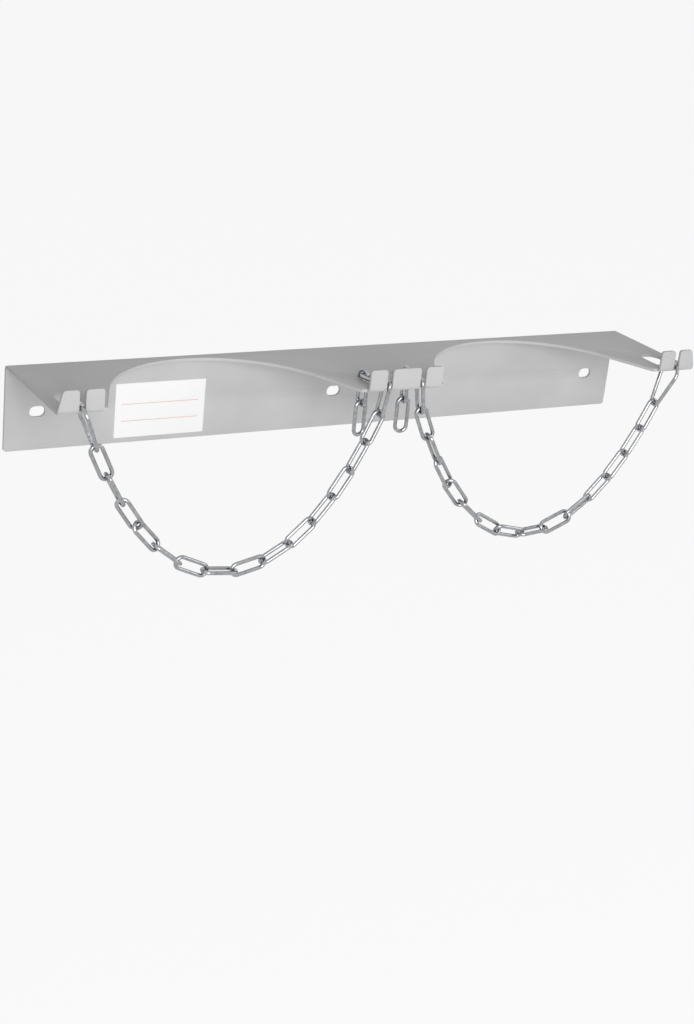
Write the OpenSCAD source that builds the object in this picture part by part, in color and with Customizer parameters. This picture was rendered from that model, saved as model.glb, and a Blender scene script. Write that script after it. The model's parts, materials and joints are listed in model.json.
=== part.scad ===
// Gas cylinder bracket: one folded steel sheet that holds two upright cylinders
// against a wall, with a welded-link safety chain across the front of each bay.
// Frame: origin on the wall plane at the centre wall hole, +X along the wall,
// front towards -Y, +Z up. Units are millimetres.

/* [Sheet] */
// Length of the folded sheet along the wall
bracket_l = 720; // [680:1:800]
// Depth from the wall to the front face of the lip
bracket_d = 145; // [140:1:160]
// Height of the back plate
plate_h = 88; // [75:1:110]
// Sheet thickness
sheet_t = 3; // [2.5:0.1:3.2]
// Inner radius of both folds
fold_r = 2.5; // [2:0.1:3]
// Height of the wall holes above the lower edge of the plate
hole_z = 39; // [30:1:45]
// Radius on the lower corners of the plate
corner_r = 3; // [1:0.5:6]

/* [Wall holes] */
// Distance between neighbouring wall holes
hole_pitch = 327; // [280:1:330]
// Length of each wall hole along the wall
hole_l = 16; // [13:0.5:20]
// Height of each wall hole
hole_w = 11; // [8:0.5:12]

/* [Cylinder bays] */
// Distance of each bay centre from the middle of the bracket
bay_x = 178.5; // [175:0.5:185]
// Radius of the round back of each bay
bay_r = 119; // [112:0.5:120]
// Depth of the bay arc centre in front of the wall
bay_y = 133; // [131:0.5:138]
// Outward flare of the bay mouth in degrees
bay_flare = 23; // [18:0.5:25]

/* [Lip] */
// Height of the lip above the underside of the shelf
lip_h = 23.3; // [20:0.1:28]
// Half-width of the middle arm at the lip
mid_half = 41; // [39:0.5:43]
// Width of each outer arm at the lip
outer_w = 44; // [42:0.5:46]
// Amount by which the free ends of the lip taper in over its height
lip_taper = 3.2; // [0:0.1:5]
// Corner radius of the tabs
tab_r = 3; // [1:0.5:4]

/* [Chain slots] */
// Width of every slot
slot_w = 6.4; // [6:0.1:7]
// Distance of the outer slots from the ends of the bracket
slot_end = 23; // [22:0.5:24]
// Distance of the inner slots from the middle of the bracket
slot_mid = 19; // [18:0.5:20]
// Width of the opening in the shelf behind each slot
window_w = 22.8; // [22.4:0.1:24]
// Length of the opening from front to back
window_l = 42; // [41:0.5:45]
// Width of the bar left between an outer slot and its opening
bar_w = 12; // [10:0.5:12.5]

/* [Chain] */
// Wire diameter of the chain
wire_d = 4; // [3.8:0.1:4.2]
// Inside length of a link
link_p = 32; // [31:0.5:34]
// Outside width of a link
link_w = 16; // [15.5:0.1:17]
// Running clearance between linked parts
link_gap = 0.4; // [0.3:0.05:0.5]
// Clearance between links that cross each other at a slant
turn_gap = 1.4; // [1.3:0.1:1.8]
// Clearance between each end link and the bar it hangs over
seat_gap = 0.6; // [0.5:0.1:0.8]
// Clearance between the flat link and the link that hangs from it
hook_gap = 0.6; // [0.5:0.1:0.8]
// Lean of the inner end link, held by the sides of its slot, in degrees
hook_lean = 9; // [7:0.5:10]
// Centre-line radius of the large bow of the end link
pear_r = 12.2; // [12:0.1:13]
// Distance between the two bow centres of the end link
pear_c = 30; // [26:0.5:34]
// Sideways distance of the end link bow from the middle of its slot
pear_shift = 3.7; // [3.5:0.1:3.9]
// Sideways distance of the inner chain end from the middle of its slot
hook_shift = 0; // [-0.5:0.1:0.5]
// Turn in plan of the flat link that lies on the shelf
flat_turn = 9; // [6:0.5:10]

/* [Label] */
// Width of the label on the plate
label_w = 97; // [60:1:110]
// Height of the label
label_h = 56.5; // [40:0.5:60]
// Thickness of the label
label_t = 0.3; // [0.2:0.05:0.5]
// Height of the label centre above the wall holes
z_label = -5.4; // [-8:0.1:0]
// Distance of the label centre from the middle of the bracket
label_x = 197.8; // [150:0.5:250]

/* [Hidden] */

steel = [0.64, 0.64, 0.64];
bright = [0.78, 0.78, 0.8];
paper = [0.95, 0.95, 0.95];
over = 1;

// Levels and lines of the sheet
z_bot = -hole_z;
z_top = plate_h - hole_z;
z_under = z_top - sheet_t;
z_lip = z_under + lip_h;
out_r = fold_r + sheet_t;
z_bend = z_top + fold_r;
arm_out = bracket_l / 2;
arm_in = arm_out - outer_w;
slot_out = arm_out - slot_end;
window_front = bracket_d - bar_w;
window_back = window_front - window_l;
y_inner = -(bracket_d - sheet_t);

// Sizes of a chain link
n_links = 16;
bow_r = (link_w - wire_d) / 2;
bow_c = link_p + wire_d - 2 * bow_r;

// The large bow of each end link sits over the bar between slot and opening
bar_half = bar_w / 2;
y_chain = -(bracket_d - bar_half);
seat_r = pear_r - wire_d / 2;
seat_lean = 22;
z_pear = z_top + seat_gap - cos(seat_lean) * sqrt(pow(seat_r, 2) - pow(bar_half, 2));
// Wire centre of the flat link that carries the inner end of the chain
z_flat = z_top + wire_d / 2 + link_gap;
x_flat = slot_mid + hook_shift;
x_pear = slot_out - pear_shift;

// Hanging curve of a chain of equal links: link i points along (h, i + 0.5 - v),
// where h and v are the level and upright pull at the outer end in link weights.
// The last link stands in its slot at a set lean, so the curve ends below it.
span = x_pear - x_flat;
climb = z_flat - z_pear;
pull_min = 0.05;
pull_max = 60;
halvings = 32;

// Turn of every link about its own length, outer end first
roll_left = [90, 0, 90, 30, -30, 90, 0, 90, 0, 90, 0, 90, 0, 90, 0, 90];
roll_right = [90, 0, 90, 0, 90, 30, -30, 90, 30, -30, 90, 30, -30, 90, 0, 90];

// Half of the clearance at the joint before link i
function slack(rolls, i) =
    (abs(rolls[i] - rolls[i - 1]) == 90 ? link_gap : turn_gap) / 2;

// Distance from the start of link i to its middle, and on to its end
function lead(rolls, i) = i == 0 ? 0 : link_p / 2 - slack(rolls, i);

function trail(rolls, i) =
    i == 0 ? pear_c + bow_r - wire_d / 2 - slack(rolls, 1)
    : i == n_links - 1 ? (link_p - wire_d) / 2 - hook_gap
    : link_p / 2 - slack(rolls, i + 1);

function reach(rolls, i) = lead(rolls, i) + trail(rolls, i);

function total(list, i = 0, s = 0) = i >= len(list) ? s : total(list, i + 1, s + list[i]);

function unit(h, v, i) =
    i == n_links - 1 ? [sin(hook_lean), cos(hook_lean)]
    : [h, i + 0.5 - v] / norm([h, i + 0.5 - v]);

function along(rolls, h, v) =
    total([for (i = [0:n_links - 1]) reach(rolls, i) * unit(h, v, i)[0]]);

function rise(rolls, h, v) =
    total([for (i = [0:n_links - 1]) reach(rolls, i) * unit(h, v, i)[1]]);

function find_v(rolls, h, lo, hi, k) =
    let (m = (lo + hi) / 2)
    k == 0 ? m
    : rise(rolls, h, m) > climb ? find_v(rolls, h, m, hi, k - 1)
    : find_v(rolls, h, lo, m, k - 1);

function find_h(rolls, lo, hi, k) =
    let (m = (lo + hi) / 2)
    k == 0 ? m
    : along(rolls, m, find_v(rolls, m, 0, n_links, halvings)) < span
    ? find_h(rolls, m, hi, k - 1)
    : find_h(rolls, lo, m, k - 1);

// Unit direction of each link as [inward, up], outer end first
function hang(rolls) =
    let (
        h = find_h(rolls, pull_min, pull_max, halvings),
        v = find_v(rolls, h, 0, n_links, halvings)
    )
    [for (i = [0:n_links - 1]) unit(h, v, i)];

// Middle of link i as [inward, up] from the outer end
function middle(rolls, dirs, i) = [
    for (c = [0, 1])
        total([for (k = [0:1:i - 1]) reach(rolls, k) * dirs[k][c]])
        + lead(rolls, i) * dirs[i][c]
];

dirs_left = hang(roll_left);
dirs_right = hang(roll_right);

function arc_points(cx, cy, r, a0, a1, n = 8) = [
    for (i = [0:n])
        [cx + r * cos(a0 + (a1 - a0) * i / n), cy + r * sin(a0 + (a1 - a0) * i / n)]
];

// ---------------------------------------------------------------- sheet

// Quarter of a fold along X, centred on its axis, from angle a to a + 90
// measured in the YZ plane
module fold(len, a) {
    rotate([90, 0, 90])
        rotate([0, 0, a])
            linear_extrude(height = len, center = true)
                intersection() {
                    difference() {
                        circle(r = out_r, $fn = 64);
                        circle(r = fold_r, $fn = 64);
                    }
                    square(out_r + over);
                }
}

// Plan of one cylinder bay, cut from the shelf, bay centre at x = 0
module bay_plan() {
    tx = bay_r * cos(bay_flare);
    ty = -bay_y + bay_r * sin(bay_flare);
    y_out = -(bracket_d + 5);
    mouth = tx + (ty - y_out) * tan(bay_flare);
    translate([0, -bay_y])
        circle(r = bay_r, $fn = 180);
    polygon([[-tx, ty], [tx, ty], [mouth, y_out], [-mouth, y_out]]);
}

// Long hole through the plate, or opening in the shelf, as a flat outline
module slot_plan(l, w) {
    square([l - w, w], center = true);
    for (s = [-1, 1])
        translate([s * (l - w) / 2, 0])
            circle(d = w, $fn = 48);
}

// Sharp corner outside a rounding of radius r, centred on the rounding
module corner_cut(r, h) {
    difference() {
        translate([0, 0, -h / 2])
            cube([r + over, r + over, h]);
        cylinder(r = r, h = h + 2, center = true, $fn = 48);
    }
}

module back_plate() {
    low = z_bot;
    high = z_top - out_r;
    difference() {
        translate([-arm_out, -sheet_t, low])
            cube([bracket_l, sheet_t, high - low]);
        for (i = [-1:1])
            translate([i * hole_pitch, 0, 0])
                rotate([90, 0, 0])
                    linear_extrude(height = 4 * sheet_t, center = true)
                        slot_plan(hole_l, hole_w);
        for (s = [-1, 1])
            translate([s * (arm_out - corner_r), -sheet_t / 2, low + corner_r])
                rotate([90, s > 0 ? 90 : 180, 0])
                    corner_cut(corner_r, 2 * sheet_t);
    }
}

module shelf() {
    y_front = -(bracket_d - out_r);
    difference() {
        translate([-arm_out, y_front, z_under])
            cube([bracket_l, -out_r - y_front, sheet_t]);
        for (s = [-1, 1])
            translate([s * bay_x, 0, z_under - over])
                linear_extrude(height = sheet_t + 2 * over)
                    bay_plan();
        for (s = [-1, 1], x = [slot_out, slot_mid])
            translate([s * x, -(window_back + window_front) / 2, z_under - over])
                linear_extrude(height = sheet_t + 2 * over)
                    rotate([0, 0, 90])
                        slot_plan(window_l, window_w);
        // The inner slots run on into their openings
        for (s = [-1, 1])
            translate([s * slot_mid - slot_w / 2, y_front - over, z_under - over])
                cube([slot_w, bracket_d - window_front + 6, sheet_t + 2 * over]);
    }
}

// Outline of one lip piece, from x = a to x = b, with tapering ends
module lip_plan(a, b, ta, tb) {
    r = tab_r;
    h = z_lip - z_bend;
    ka = atan2(ta, h);
    kb = atan2(tb, h);
    polygon(concat(
        [[a, 0], [b, 0]],
        arc_points(b - tb - r * (1 + sin(kb)) / cos(kb), h - r, r, kb, 90),
        arc_points(a + ta + r * (1 + sin(ka)) / cos(ka), h - r, r, 90, 180 - ka)
    ));
}

// Slot through the lip with rounded upper corners on both sides
module lip_slot() {
    h = z_lip - z_bend;
    r = tab_r;
    w = slot_w / 2;
    polygon(concat(
        [[-w, -over], [w, -over]],
        arc_points(w + r, h - r, r, 180, 90),
        [[w + r, h + over], [-w - r, h + over]],
        arc_points(-w - r, h - r, r, 90, 0)
    ));
}

module lip_piece(a, b, ta, tb, cuts) {
    y_axis = -(bracket_d - out_r);
    difference() {
        union() {
            translate([0, y_inner, z_bend])
                rotate([90, 0, 0])
                    linear_extrude(height = sheet_t)
                        lip_plan(a, b, ta, tb);
            translate([(a + b) / 2, y_axis, z_bend])
                fold(b - a, 180);
        }
        for (x = cuts)
            translate([x, y_inner + over, z_bend])
                rotate([90, 0, 0])
                    linear_extrude(height = sheet_t + 2 * over)
                        lip_slot();
        // Outer slots end level with the shelf, inner slots run through the fold
        for (x = cuts)
            translate([x - slot_w / 2, -bracket_d - over, abs(x) < arm_in ? z_under - over : z_top])
                cube([slot_w, out_r + over + 0.5, 2 * out_r]);
    }
}

module bracket() {
    color(steel)
        union() {
            back_plate();
            translate([0, -out_r, z_top - out_r])
                fold(bracket_l, 0);
            shelf();
            lip_piece(-arm_out, -arm_in, lip_taper, 0, [-slot_out]);
            lip_piece(-mid_half, mid_half, 0, 0, [-slot_mid, slot_mid]);
            lip_piece(arm_in, arm_out, 0, lip_taper, [slot_out]);
        }
}

module label() {
    color(paper)
        translate([-label_x - label_w / 2, -sheet_t - label_t, z_label - label_h / 2])
            cube([label_w, label_t, label_h]);
}

// ---------------------------------------------------------------- chain

// Half of a round-wire bow of radius bow_r, in the XY plane, bulging to +Y
module bow() {
    rotate_extrude(angle = 180, $fn = 32)
        translate([bow_r, 0])
            circle(d = wire_d, $fn = 14);
}

// Plain link with its length along Z and its width along X
module plain_link() {
    rotate([90, 0, 0]) {
        translate([0, bow_c / 2])
            bow();
        translate([0, -bow_c / 2])
            rotate([0, 0, 180])
                bow();
        for (s = [-1, 1])
            translate([s * bow_r, bow_c / 2, 0])
                rotate([90, 0, 0])
                    cylinder(h = bow_c, d = wire_d, $fn = 14);
    }
}

// Pear-shaped end link in the XZ plane: large bow of radius pear_r about the
// origin, plain bow pear_c below it, and the straight legs tangent to both.
// Ring j of the wire is centred at [0, cz] + r * [cos t, sin t].
module pear_link() {
    a = asin((pear_r - bow_r) / pear_c);
    nu = 16;
    big = 18;
    small = 12;
    rings = concat(
        [for (j = [0:big]) [0, pear_r, -a + (180 + 2 * a) * j / big]],
        [for (j = [0:small]) [-pear_c, bow_r, 180 + a + (180 - 2 * a) * j / small]]
    );
    nr = len(rings);
    points = [
        for (q = rings, k = [0:nu - 1])
            let (u = 360 * k / nu, d = q[1] + wire_d / 2 * cos(u))
            [d * cos(q[2]), wire_d / 2 * sin(u), q[0] + d * sin(q[2])]
    ];
    faces = [
        for (j = [0:nr - 1], k = [0:nu - 1], h = [0, 1])
            let (
                j2 = (j + 1) % nr,
                k2 = (k + 1) % nu,
                p = j * nu + k,
                q = j2 * nu + k,
                r = j2 * nu + k2,
                s = j * nu + k2
            )
            h == 0 ? [p, q, r] : [p, r, s]
    ];
    polyhedron(points = points, faces = faces, convexity = 4);
}

// Link i of a hanging chain; side is -1 for the left chain and 1 for the right
module chain_link(side, i) {
    rolls = side < 0 ? roll_left : roll_right;
    dirs = side < 0 ? dirs_left : dirs_right;
    m = middle(rolls, dirs, i);
    color(bright)
        translate([side * (x_pear - m[0]), y_chain, z_pear + m[1]])
            rotate([0, side * atan2(dirs[i][0], -dirs[i][1]), 0])
                rotate([0, 0, side * rolls[i]])
                    if (i == 0)
                        pear_link();
                    else
                        plain_link();
}

// Point on the centre line of the flat link, d away from its front wire
module on_flat(side, d) {
    translate([side * x_flat, y_chain, z_flat])
        rotate([0, 0, -side * flat_turn])
            translate([0, d, 0])
                children();
}

module flat_link(side) {
    color(bright)
        on_flat(side, link_p / 2 + wire_d / 2)
            rotate([90, 0, 0])
                plain_link();
}

// Link k (0 or 1) of the loose tail that hangs through the opening
module tail_link(side, k) {
    far = link_p + wire_d;
    top = wire_d + link_gap;
    z = top - far / 2 - k * (far - top);
    color(bright)
        on_flat(side, far)
            translate([0, 0, z])
                rotate([0, 0, k == 0 ? 90 : 0])
                    plain_link();
}

module chain_left_end_link() {
    chain_link(-1, 0);
}

module chain_left_link_02() {
    chain_link(-1, 1);
}

module chain_left_link_03() {
    chain_link(-1, 2);
}

module chain_left_link_04() {
    chain_link(-1, 3);
}

module chain_left_link_05() {
    chain_link(-1, 4);
}

module chain_left_link_06() {
    chain_link(-1, 5);
}

module chain_left_link_07() {
    chain_link(-1, 6);
}

module chain_left_link_08() {
    chain_link(-1, 7);
}

module chain_left_link_09() {
    chain_link(-1, 8);
}

module chain_left_link_10() {
    chain_link(-1, 9);
}

module chain_left_link_11() {
    chain_link(-1, 10);
}

module chain_left_link_12() {
    chain_link(-1, 11);
}

module chain_left_link_13() {
    chain_link(-1, 12);
}

module chain_left_link_14() {
    chain_link(-1, 13);
}

module chain_left_link_15() {
    chain_link(-1, 14);
}

module chain_left_link_16() {
    chain_link(-1, 15);
}

module chain_left_flat_link() {
    flat_link(-1);
}

module chain_left_tail_upper() {
    tail_link(-1, 0);
}

module chain_left_tail_lower() {
    tail_link(-1, 1);
}

module chain_right_end_link() {
    chain_link(1, 0);
}

module chain_right_link_02() {
    chain_link(1, 1);
}

module chain_right_link_03() {
    chain_link(1, 2);
}

module chain_right_link_04() {
    chain_link(1, 3);
}

module chain_right_link_05() {
    chain_link(1, 4);
}

module chain_right_link_06() {
    chain_link(1, 5);
}

module chain_right_link_07() {
    chain_link(1, 6);
}

module chain_right_link_08() {
    chain_link(1, 7);
}

module chain_right_link_09() {
    chain_link(1, 8);
}

module chain_right_link_10() {
    chain_link(1, 9);
}

module chain_right_link_11() {
    chain_link(1, 10);
}

module chain_right_link_12() {
    chain_link(1, 11);
}

module chain_right_link_13() {
    chain_link(1, 12);
}

module chain_right_link_14() {
    chain_link(1, 13);
}

module chain_right_link_15() {
    chain_link(1, 14);
}

module chain_right_link_16() {
    chain_link(1, 15);
}

module chain_right_flat_link() {
    flat_link(1);
}

module chain_right_tail_upper() {
    tail_link(1, 0);
}

module chain_right_tail_lower() {
    tail_link(1, 1);
}

bracket();
label();
chain_left_end_link();
chain_left_link_02();
chain_left_link_03();
chain_left_link_04();
chain_left_link_05();
chain_left_link_06();
chain_left_link_07();
chain_left_link_08();
chain_left_link_09();
chain_left_link_10();
chain_left_link_11();
chain_left_link_12();
chain_left_link_13();
chain_left_link_14();
chain_left_link_15();
chain_left_link_16();
chain_left_flat_link();
chain_left_tail_upper();
chain_left_tail_lower();
chain_right_end_link();
chain_right_link_02();
chain_right_link_03();
chain_right_link_04();
chain_right_link_05();
chain_right_link_06();
chain_right_link_07();
chain_right_link_08();
chain_right_link_09();
chain_right_link_10();
chain_right_link_11();
chain_right_link_12();
chain_right_link_13();
chain_right_link_14();
chain_right_link_15();
chain_right_link_16();
chain_right_flat_link();
chain_right_tail_upper();
chain_right_tail_lower();
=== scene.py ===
"""Gas cylinder bracket: powder-coated folded sheet, bare label and zinc-plated chain."""

import json
import math

import bmesh
import bpy
import numpy as np
from mathutils import Matrix, Vector

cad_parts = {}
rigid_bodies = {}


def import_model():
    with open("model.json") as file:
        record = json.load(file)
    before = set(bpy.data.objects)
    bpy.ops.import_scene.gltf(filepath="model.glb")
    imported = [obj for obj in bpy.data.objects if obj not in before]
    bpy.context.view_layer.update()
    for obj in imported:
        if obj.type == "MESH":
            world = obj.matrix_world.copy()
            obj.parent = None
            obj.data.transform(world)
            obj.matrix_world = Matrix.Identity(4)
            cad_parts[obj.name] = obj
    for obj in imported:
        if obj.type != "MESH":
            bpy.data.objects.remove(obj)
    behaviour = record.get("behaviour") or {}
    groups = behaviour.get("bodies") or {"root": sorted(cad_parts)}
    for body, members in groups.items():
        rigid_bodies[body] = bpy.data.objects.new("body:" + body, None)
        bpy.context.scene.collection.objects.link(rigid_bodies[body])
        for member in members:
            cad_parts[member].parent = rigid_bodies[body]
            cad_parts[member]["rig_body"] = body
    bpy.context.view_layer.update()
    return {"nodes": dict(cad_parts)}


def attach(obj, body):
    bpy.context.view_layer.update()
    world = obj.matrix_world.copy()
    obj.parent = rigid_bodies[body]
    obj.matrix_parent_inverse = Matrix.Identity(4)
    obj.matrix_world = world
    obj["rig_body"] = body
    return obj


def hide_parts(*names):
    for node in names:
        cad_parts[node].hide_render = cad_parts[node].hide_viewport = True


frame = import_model()
nodes = frame["nodes"]

MM = 0.001
scene = bpy.context.scene
scene.view_settings.view_transform = "Standard"

# Middle of the label along the wall, and the two thin rules on it
LABEL_X = -197.8 * MM
RULE_HEIGHTS = (1.2 * MM, -16.5 * MM)
RULE_WIDTH = 0.7 * MM
RULE_LENGTH = 83 * MM

# Points closer than this are one point, and faces that turn less than this, in
# degrees, are one face
MERGE_DISTANCE = 0.002 * MM
FLAT_ANGLE = 0.2

# Radius that the coat gives a cut edge, and the least corner, in degrees, that it rounds
EDGE_RADIUS = 0.45 * MM
EDGE_ANGLE = 30

# Floor level and size, and the share of it that shows plain white; the rest is lit
# and takes the shadow
FLOOR_LEVEL = -0.55
FLOOR_SIZE = 30
FLOOR_GLOW = 0.9

# Light that the room itself sheds, as a share of white
ROOM_LIGHT = 0.34

# Point that the lamps face
LAMP_TARGET = (0, -0.05, 0)


# ------------------------------------------------------------------ materials

def linear(hex_colour):
    """sRGB hex value to linear RGBA."""
    channels = [int(hex_colour[i:i + 2], 16) / 255 for i in (1, 3, 5)]
    return tuple(
        c / 12.92 if c <= 0.04045 else ((c + 0.055) / 1.055) ** 2.4 for c in channels
    ) + (1.0,)


def add_node(tree, kind, settings=None, inputs=None):
    """Add one node, set its properties, then set or link its inputs."""
    node = tree.nodes.new(kind)
    for name, value in (settings or {}).items():
        setattr(node, name, value)
    for name, value in (inputs or {}).items():
        if isinstance(value, bpy.types.NodeSocket):
            tree.links.new(value, node.inputs[name])
        else:
            node.inputs[name].default_value = value
    return node


def new_material(name):
    """An empty node material, with its tree and output."""
    material = bpy.data.materials.new(name)
    material.use_nodes = True
    tree = material.node_tree
    tree.nodes.clear()
    return material, tree, add_node(tree, "ShaderNodeOutputMaterial")


def powder_coat():
    """Light grey polyester powder coat on folded steel: baked satin film with a
    fine orange-peel surface, a little uneven in shade over a long run."""
    material, tree, output = new_material("grey_powder_coat")
    place = add_node(tree, "ShaderNodeTexCoord").outputs["Object"]
    # Film thickness drifts over some 60 mm and shifts the shade slightly
    drift = add_node(tree, "ShaderNodeTexNoise", None, {
        "Vector": place, "Scale": 16.0, "Detail": 3.0, "Roughness": 0.5})
    shade = add_node(tree, "ShaderNodeValToRGB", None, {"Fac": drift.outputs["Fac"]})
    shade.color_ramp.elements[0].position = 0.3
    shade.color_ramp.elements[0].color = linear("#c4c4c4")
    shade.color_ramp.elements[1].position = 0.7
    shade.color_ramp.elements[1].color = linear("#cacaca")
    # Orange peel: dimples about 1.2 mm apart, drawn a little coarse so they show
    peel = add_node(tree, "ShaderNodeTexNoise", None, {
        "Vector": place, "Scale": 800.0, "Detail": 2.0, "Roughness": 0.45})
    dimple = add_node(tree, "ShaderNodeBump", None, {
        "Height": peel.outputs["Fac"], "Strength": 0.12, "Distance": 0.0003})
    gloss = add_node(tree, "ShaderNodeMapRange", None, {
        "Value": drift.outputs["Fac"], "From Min": 0.3, "From Max": 0.7,
        "To Min": 0.50, "To Max": 0.58})
    shader = add_node(tree, "ShaderNodeBsdfPrincipled", None, {
        "Base Color": shade.outputs["Color"], "Roughness": gloss.outputs["Result"],
        "Normal": dimple.outputs["Normal"], "Metallic": 0.0, "IOR": 1.5,
        "Specular IOR Level": 0.35})
    tree.links.new(shader.outputs["BSDF"], output.inputs["Surface"])
    return material


def zinc_plate():
    """Bright zinc on drawn steel wire: mirror-like with a faint cloudy haze and
    fine marks from tumbling."""
    material, tree, output = new_material("bright_zinc")
    place = add_node(tree, "ShaderNodeTexCoord").outputs["Object"]
    # Passivate clouds a few millimetres across vary the tone at random. The whole tone is
    # also set darker than plain bright zinc, so the wire reads mid grey in the white
    # room: painted dark reflection
    cloud = add_node(tree, "ShaderNodeTexNoise", None, {
        "Vector": place, "Scale": 220.0, "Detail": 4.0, "Roughness": 0.55})
    tone_and_painted_dark = add_node(tree, "ShaderNodeValToRGB", None, {"Fac": cloud.outputs["Fac"]})
    tone_and_painted_dark.color_ramp.elements[0].position = 0.25
    tone_and_painted_dark.color_ramp.elements[0].color = linear("#8b8d90")
    tone_and_painted_dark.color_ramp.elements[1].position = 0.75
    tone_and_painted_dark.color_ramp.elements[1].color = linear("#b2b4b6")
    haze = add_node(tree, "ShaderNodeMapRange", None, {
        "Value": cloud.outputs["Fac"], "From Min": 0.3, "From Max": 0.7,
        "To Min": 0.09, "To Max": 0.17})
    # Tumbling marks about 0.5 mm apart
    marks = add_node(tree, "ShaderNodeTexNoise", None, {
        "Vector": place, "Scale": 1900.0, "Detail": 2.0, "Roughness": 0.5})
    dent = add_node(tree, "ShaderNodeBump", None, {
        "Height": marks.outputs["Fac"], "Strength": 0.03, "Distance": 0.0002})
    shader = add_node(tree, "ShaderNodeBsdfPrincipled", None, {
        "Base Color": tone_and_painted_dark.outputs["Color"], "Roughness": haze.outputs["Result"],
        "Normal": dent.outputs["Normal"], "Metallic": 1.0})
    tree.links.new(shader.outputs["BSDF"], output.inputs["Surface"])
    return material


def label_film():
    """White printed film label: smooth satin face, left bare but for two thin
    pale red rules that part its fields."""
    material, tree, output = new_material("white_label_film")
    place = add_node(tree, "ShaderNodeTexCoord").outputs["Object"]
    spot = add_node(tree, "ShaderNodeSeparateXYZ", None, {"Vector": place})
    grain = add_node(tree, "ShaderNodeTexNoise", None, {
        "Vector": place, "Scale": 500.0, "Detail": 2.0, "Roughness": 0.5})
    white = add_node(tree, "ShaderNodeValToRGB", None, {"Fac": grain.outputs["Fac"]})
    white.color_ramp.elements[0].color = linear("#f8f8f8")
    white.color_ramp.elements[1].color = linear("#fcfcfc")
    # Each rule is 1 within half its width of its line, and 0 elsewhere
    bands = []
    for height in RULE_HEIGHTS:
        offset = add_node(tree, "ShaderNodeMath", {"operation": "SUBTRACT"}, {
            0: spot.outputs["Z"], 1: height})
        away = add_node(tree, "ShaderNodeMath", {"operation": "ABSOLUTE"}, {
            0: offset.outputs[0]})
        bands.append(add_node(tree, "ShaderNodeMath", {"operation": "LESS_THAN"}, {
            0: away.outputs[0], 1: RULE_WIDTH / 2}))
    rules = add_node(tree, "ShaderNodeMath", {"operation": "MAXIMUM"}, {
        0: bands[0].outputs[0], 1: bands[1].outputs[0]})
    # Both rules stop short of the label's ends
    side = add_node(tree, "ShaderNodeMath", {"operation": "SUBTRACT"}, {
        0: spot.outputs["X"], 1: LABEL_X})
    reach = add_node(tree, "ShaderNodeMath", {"operation": "ABSOLUTE"}, {
        0: side.outputs[0]})
    inside = add_node(tree, "ShaderNodeMath", {"operation": "LESS_THAN"}, {
        0: reach.outputs[0], 1: RULE_LENGTH / 2})
    where = add_node(tree, "ShaderNodeMath", {"operation": "MULTIPLY"}, {
        0: rules.outputs[0], 1: inside.outputs[0]})
    ink = add_node(tree, "ShaderNodeMix", {"data_type": "RGBA"}, {
        "Factor": where.outputs[0], "A": white.outputs["Color"],
        "B": linear("#e3b9b4")})
    shader = add_node(tree, "ShaderNodeBsdfPrincipled", None, {
        "Base Color": ink.outputs["Result"], "Roughness": 0.42, "IOR": 1.49})
    tree.links.new(shader.outputs["BSDF"], output.inputs["Surface"])
    return material


# ------------------------------------------------------------------ pieces

def frame_body(node):
    """Name of the body that a CAD node belongs to."""
    return nodes[node]["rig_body"]


def smooth_copy(node, name, material):
    """The CAD node's own surface, point for point, with its loose triangles merged
    into faces and smooth shading, as a piece that stands for the node."""
    mesh = bpy.data.meshes.new(name)
    shell = bmesh.new()
    shell.from_mesh(nodes[node].data)
    bmesh.ops.remove_doubles(shell, verts=shell.verts, dist=MERGE_DISTANCE)
    bmesh.ops.dissolve_limit(
        shell, angle_limit=math.radians(FLAT_ANGLE), verts=shell.verts, edges=shell.edges)
    bmesh.ops.recalc_face_normals(shell, faces=shell.faces)
    for face in shell.faces:
        face.smooth = True
    shell.to_mesh(mesh)
    shell.free()
    mesh.materials.append(material)
    piece = bpy.data.objects.new(name, mesh)
    scene.collection.objects.link(piece)
    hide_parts(node)
    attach(piece, frame_body(node))
    return piece


def coat_edges(piece, radius, angle):
    """Rounds every corner sharper than `angle` degrees by `radius`, as a coating
    does: an outer corner loses a sliver and an inner one gains one."""
    round_edges = piece.modifiers.new("coated_edges", "BEVEL")
    round_edges.width = radius
    round_edges.segments = 2
    round_edges.limit_method = "ANGLE"
    round_edges.angle_limit = math.radians(angle)
    round_edges.harden_normals = True


coat = powder_coat()
zinc = zinc_plate()
film = label_film()

sheet = smooth_copy("bracket", "bracket_sheet", coat)
coat_edges(sheet, EDGE_RADIUS, EDGE_ANGLE)

END_LINKS = ("chain_left_end_link", "chain_right_end_link")
for node_name in END_LINKS:
    smooth_copy(node_name, node_name.replace("end_link", "pear_link"), zinc)

for node_name, node in nodes.items():
    if node_name == "bracket" or node_name in END_LINKS:
        continue
    finish = film if node_name == "label" else zinc
    node.data.materials.clear()
    node.data.materials.append(finish)


# ------------------------------------------------------------------ stage

def level_square(name, level, size):
    """A level square about the Z axis: (u, v, level), u and v from -size / 2 to
    size / 2."""
    u, v = np.meshgrid(np.array([-0.5, 0.5]) * size, np.array([-0.5, 0.5]) * size)
    points = np.stack((u, v, np.full_like(u, level)), axis=-1).reshape(-1, 3)
    mesh = bpy.data.meshes.new(name)
    mesh.from_pydata(points.tolist(), [], [(0, 1, 3, 2)])
    piece = bpy.data.objects.new(name, mesh)
    scene.collection.objects.link(piece)
    return piece


def shown_rays(tree):
    """1 for the rays that show the background: the camera's, and those that
    mirror or pass it on."""
    rays = add_node(tree, "ShaderNodeLightPath")
    mirrored = add_node(tree, "ShaderNodeMath", {"operation": "MAXIMUM"}, {
        0: rays.outputs["Is Glossy Ray"], 1: rays.outputs["Is Transmission Ray"]})
    shown = add_node(tree, "ShaderNodeMath", {"operation": "MAXIMUM"}, {
        0: rays.outputs["Is Camera Ray"], 1: mirrored.outputs[0]})
    return shown.outputs[0]


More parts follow.
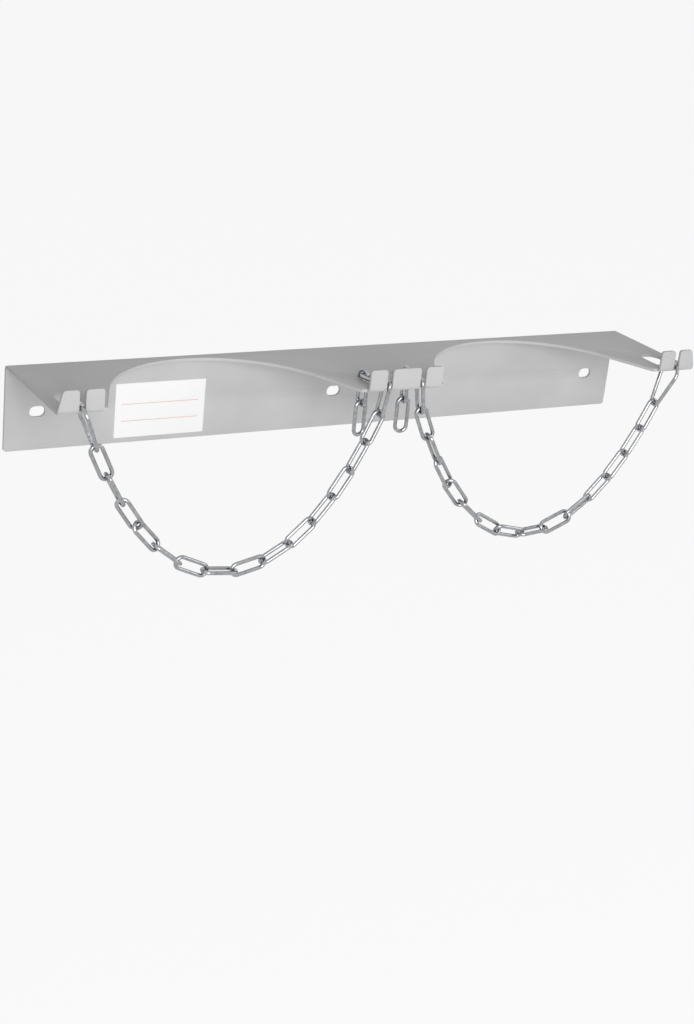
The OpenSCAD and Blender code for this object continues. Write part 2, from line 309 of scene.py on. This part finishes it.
def pale_floor():
    """Matt white floor that reads white and still takes the bracket's shadow."""
    material, tree, output = new_material("pale_floor")
    share = add_node(tree, "ShaderNodeMath", {"operation": "MULTIPLY"}, {
        0: shown_rays(tree), 1: FLOOR_GLOW})
    matt = add_node(tree, "ShaderNodeBsdfDiffuse", None, {"Color": linear("#f2f2f2")})
    glow = add_node(tree, "ShaderNodeEmission", None, {
        "Color": (1, 1, 1, 1), "Strength": 1.0})
    blend = add_node(tree, "ShaderNodeMixShader", None, {
        0: share.outputs[0], 1: matt.outputs["BSDF"], 2: glow.outputs["Emission"]})
    tree.links.new(blend.outputs["Shader"], output.inputs["Surface"])
    return material


floor = level_square("floor", FLOOR_LEVEL, FLOOR_SIZE)
floor.data.materials.append(pale_floor())

world = bpy.data.worlds.new("studio")
scene.world = world
world.use_nodes = True
sky = world.node_tree
sky.nodes.clear()
white_room = add_node(sky, "ShaderNodeBackground", None, {
    "Color": (1, 1, 1, 1), "Strength": 1.0})
soft_room = add_node(sky, "ShaderNodeBackground", None, {
    "Color": (1, 1, 1, 1), "Strength": ROOM_LIGHT})
pick = add_node(sky, "ShaderNodeMixShader", None, {
    0: shown_rays(sky), 1: soft_room.outputs["Background"],
    2: white_room.outputs["Background"]})
add_node(sky, "ShaderNodeOutputWorld", None, {"Surface": pick.outputs["Shader"]})


def soft_box(name, place, size, power):
    """A square lamp at `place`, `size` across, that faces the bracket."""
    lamp = bpy.data.lights.new(name, "AREA")
    lamp.shape = "SQUARE"
    lamp.size = size
    lamp.energy = power
    holder = bpy.data.objects.new(name, lamp)
    scene.collection.objects.link(holder)
    holder.location = place
    aim = Vector(LAMP_TARGET) - Vector(place)
    holder.rotation_euler = aim.to_track_quat("-Z", "Y").to_euler()


soft_box("front_softbox", (-0.6, -2.85, 0.7), 1.6, 50)
soft_box("right_softbox", (2.4, -1.6, 1.2), 1.2, 8)

# ------------------------------------------------------------------ camera

# Seen from the front left and above, about 1.9 m away, rolled a little; in radians
# and metres, and the sensor in millimetres
AZIMUTH, ELEVATION, ROLL = 0.5389751889, 0.3728553053, 0.1072309039
EYE = (-0.9092477, -1.5779989, 0.5763189)
LENS_IN_FRAME_HEIGHTS = 1803.938 / 1024
SENSOR_HEIGHT = 36.0

view = bpy.data.cameras.new("camera")
view.sensor_fit = "VERTICAL"
view.sensor_height = SENSOR_HEIGHT
view.lens = SENSOR_HEIGHT * LENS_IN_FRAME_HEIGHTS
view.clip_start = 0.05
view.clip_end = 60
camera = bpy.data.objects.new("camera", view)
scene.collection.objects.link(camera)
forward = Vector((
    math.sin(AZIMUTH) * math.cos(ELEVATION),
    math.cos(AZIMUTH) * math.cos(ELEVATION),
    -math.sin(ELEVATION)))
level = Vector((math.cos(AZIMUTH), -math.sin(AZIMUTH), 0))
upright = level.cross(forward)
right = level * math.cos(ROLL) + upright * math.sin(ROLL)
top = -level * math.sin(ROLL) + upright * math.cos(ROLL)
turn = Matrix((right, top, -forward)).transposed()
camera.matrix_world = Matrix.Translation(EYE) @ turn.to_4x4()
scene.camera = camera
